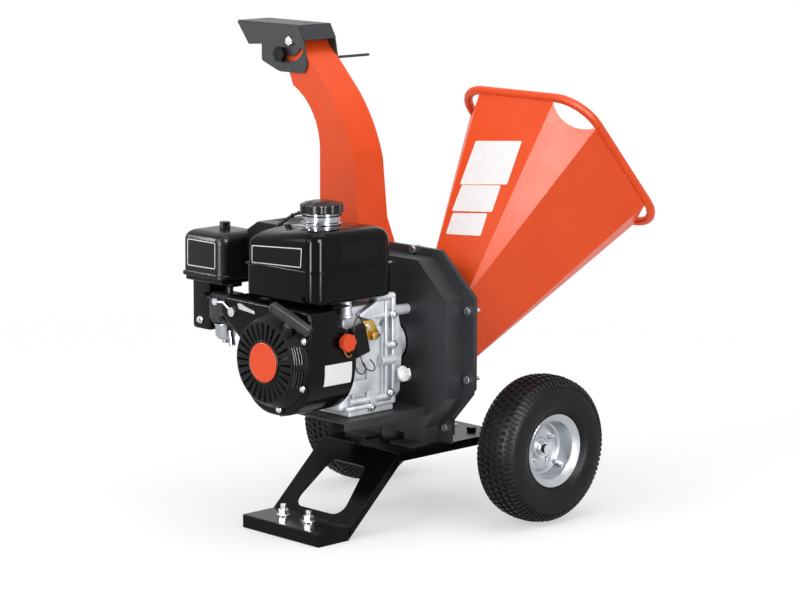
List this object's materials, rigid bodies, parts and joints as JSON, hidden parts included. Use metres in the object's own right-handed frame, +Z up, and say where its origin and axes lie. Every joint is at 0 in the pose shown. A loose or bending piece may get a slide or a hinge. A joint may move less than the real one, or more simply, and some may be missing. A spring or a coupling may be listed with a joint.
{
  "type": "petrol wood chipper",
  "caption": "Compact petrol wood chipper: tall feed hopper, disc rotor housing, curved discharge chute with tilting hood, horizontal-shaft engine, wheeled stand.",
  "frame": {"origin": "centre of the foot's underside, on the ground, straight below the line of the crankshaft", "axes": "+Z up, +Y from the starter end to the feed hopper, +X towards the oil filler side"},
  "size_m": [0.6604, 0.786, 0.8365],
  "materials": {
    "orange_powder_coat": "satin",
    "dark_grey_powder_coat": "satin",
    "gloss_black_enamel": "gloss",
    "black_plastic": "satin",
    "red_plastic": "satin",
    "white_plastic": "satin",
    "tyre_rubber": "matte",
    "zinc_plate": "satin",
    "cast_aluminium": "satin",
    "ground_steel": "satin",
    "chrome": "gloss"
  },
  "bodies": {
    "machine": {"hopper": "orange_powder_coat", "hopper_rim": "orange_powder_coat", "chute": "orange_powder_coat", "housing_front": "dark_grey_powder_coat", "housing_rear": "dark_grey_powder_coat", "engine_plate": "dark_grey_powder_coat", "muffler": "dark_grey_powder_coat", "base_plate": "gloss_black_enamel", "front_leg": "gloss_black_enamel", "foot": "gloss_black_enamel", "axle_beam": "gloss_black_enamel", "axle_bolt_left": "gloss_black_enamel", "axle_bolt_right": "gloss_black_enamel", "fan_shroud": "gloss_black_enamel", "fuel_tank": "gloss_black_enamel", "rocker_cover": "gloss_black_enamel", "spark_plug_cap": "black_plastic", "recoil_housing": "black_plastic", "air_cleaner_cover": "black_plastic", "air_cleaner_base": "black_plastic", "oil_alert_unit": "black_plastic", "muffler_guard": "black_plastic", "recoil_cap": "red_plastic", "foot_bolt_left": "zinc_plate", "foot_bolt_right": "zinc_plate", "axle_nut_left": "zinc_plate", "axle_nut_right": "zinc_plate", "flange_bolt_1": "zinc_plate", "flange_bolt_2": "zinc_plate", "flange_bolt_3": "zinc_plate", "flange_bolt_4": "zinc_plate", "flange_bolt_5": "zinc_plate", "flange_bolt_6": "zinc_plate", "hood_pivot_bolt": "zinc_plate", "crankcase": "cast_aluminium", "side_cover": "cast_aluminium", "cylinder_head": "cast_aluminium", "carburettor": "cast_aluminium", "bed_knife": "ground_steel", "filler_neck": "chrome", "fuel_bowl": "chrome"},
    "wheel_left": {"tyre_left": "tyre_rubber", "wheel_rim_left": "zinc_plate"},
    "wheel_right": {"tyre_right": "tyre_rubber", "wheel_rim_right": "zinc_plate"},
    "rotor": {"crankshaft": "ground_steel", "flywheel_fan": "black_plastic", "rotor_disc": "ground_steel", "chipper_knife_1": "ground_steel", "chipper_knife_2": "ground_steel"},
    "hood": {"deflector_hood": "dark_grey_powder_coat"},
    "clamp_knob": {"hood_knob": "black_plastic"},
    "starter_grip": {"pull_handle": "black_plastic"},
    "filler_cap": {"fuel_cap": "black_plastic"},
    "engine_switch": {"switch_knob": "red_plastic"},
    "dipstick": {"oil_dipstick": "white_plastic"},
    "choke": {"choke_lever": "black_plastic"},
    "fuel_valve": {"fuel_valve_lever": "black_plastic"},
    "throttle": {"throttle_lever": "zinc_plate"},
    "air_cleaner_nut": {"air_cleaner_knob": "black_plastic"}
  },
  "joints": [
    {"name": "wheel_left_spin", "type": "hinge", "parent": "machine", "child": "wheel_left", "pos_m": [-0.2179, 0.3714, 0.1285], "axis": [1, 0, 0], "continuous": true},
    {"name": "wheel_right_spin", "type": "hinge", "parent": "machine", "child": "wheel_right", "pos_m": [0.2179, 0.3714, 0.1285], "axis": [1, 0, 0], "continuous": true},
    {"name": "rotor_spin", "type": "hinge", "parent": "machine", "child": "rotor", "pos_m": [0, 0.26, 0.306], "axis": [0, 1, 0], "continuous": true},
    {"name": "hood_tilt", "type": "hinge", "parent": "machine", "child": "hood", "pos_m": [-0.2565, 0.2233, 0.8075], "axis": [0, 1, 0], "range_deg": [0, 25]},
    {"name": "clamp_knob_turn", "type": "hinge", "parent": "machine", "child": "clamp_knob", "pos_m": [-0.27666, 0.2233, 0.78304], "axis": [0, -1, 0], "range_deg": [0, 360]},
    {"name": "starter_pull", "type": "slide", "parent": "machine", "child": "starter_grip", "axis": [0.4236, -0.1815, 0.8875], "range_m": [0, 0.6]},
    {"name": "filler_cap_turn", "type": "hinge", "parent": "machine", "child": "filler_cap", "pos_m": [0.007, 0.055, 0.5466], "axis": [0, 0, 1], "range_deg": [0, 90]},
    {"name": "engine_switch_turn", "type": "hinge", "parent": "machine", "child": "engine_switch", "pos_m": [0.092, 0.026, 0.341], "axis": [1, 0, 0], "range_deg": [0, 60]},
    {"name": "dipstick_turn", "type": "hinge", "parent": "machine", "child": "dipstick", "pos_m": [0.073, 0.18, 0.263], "axis": [0.9419, 0.1002, 0.3206], "range_deg": [0, 360]},
    {"name": "choke_swing", "type": "hinge", "parent": "machine", "child": "choke", "pos_m": [-0.22, 0.02, 0.37], "axis": [0, 1, 0], "range_deg": [0, 50]},
    {"name": "fuel_valve_swing", "type": "hinge", "parent": "machine", "child": "fuel_valve", "pos_m": [-0.204, 0.02, 0.342], "axis": [0, 1, 0], "range_deg": [0, 50]},
    {"name": "throttle_swing", "type": "hinge", "parent": "machine", "child": "throttle", "pos_m": [-0.1, -0.05, 0.376], "axis": [0, 1, 0], "range_deg": [0, 30]},
    {"name": "air_cleaner_nut_turn", "type": "hinge", "parent": "machine", "child": "air_cleaner_nut", "pos_m": [-0.236, 0.05, 0.4923], "axis": [0, 0, 1], "range_deg": [0, 360]}
  ]
}
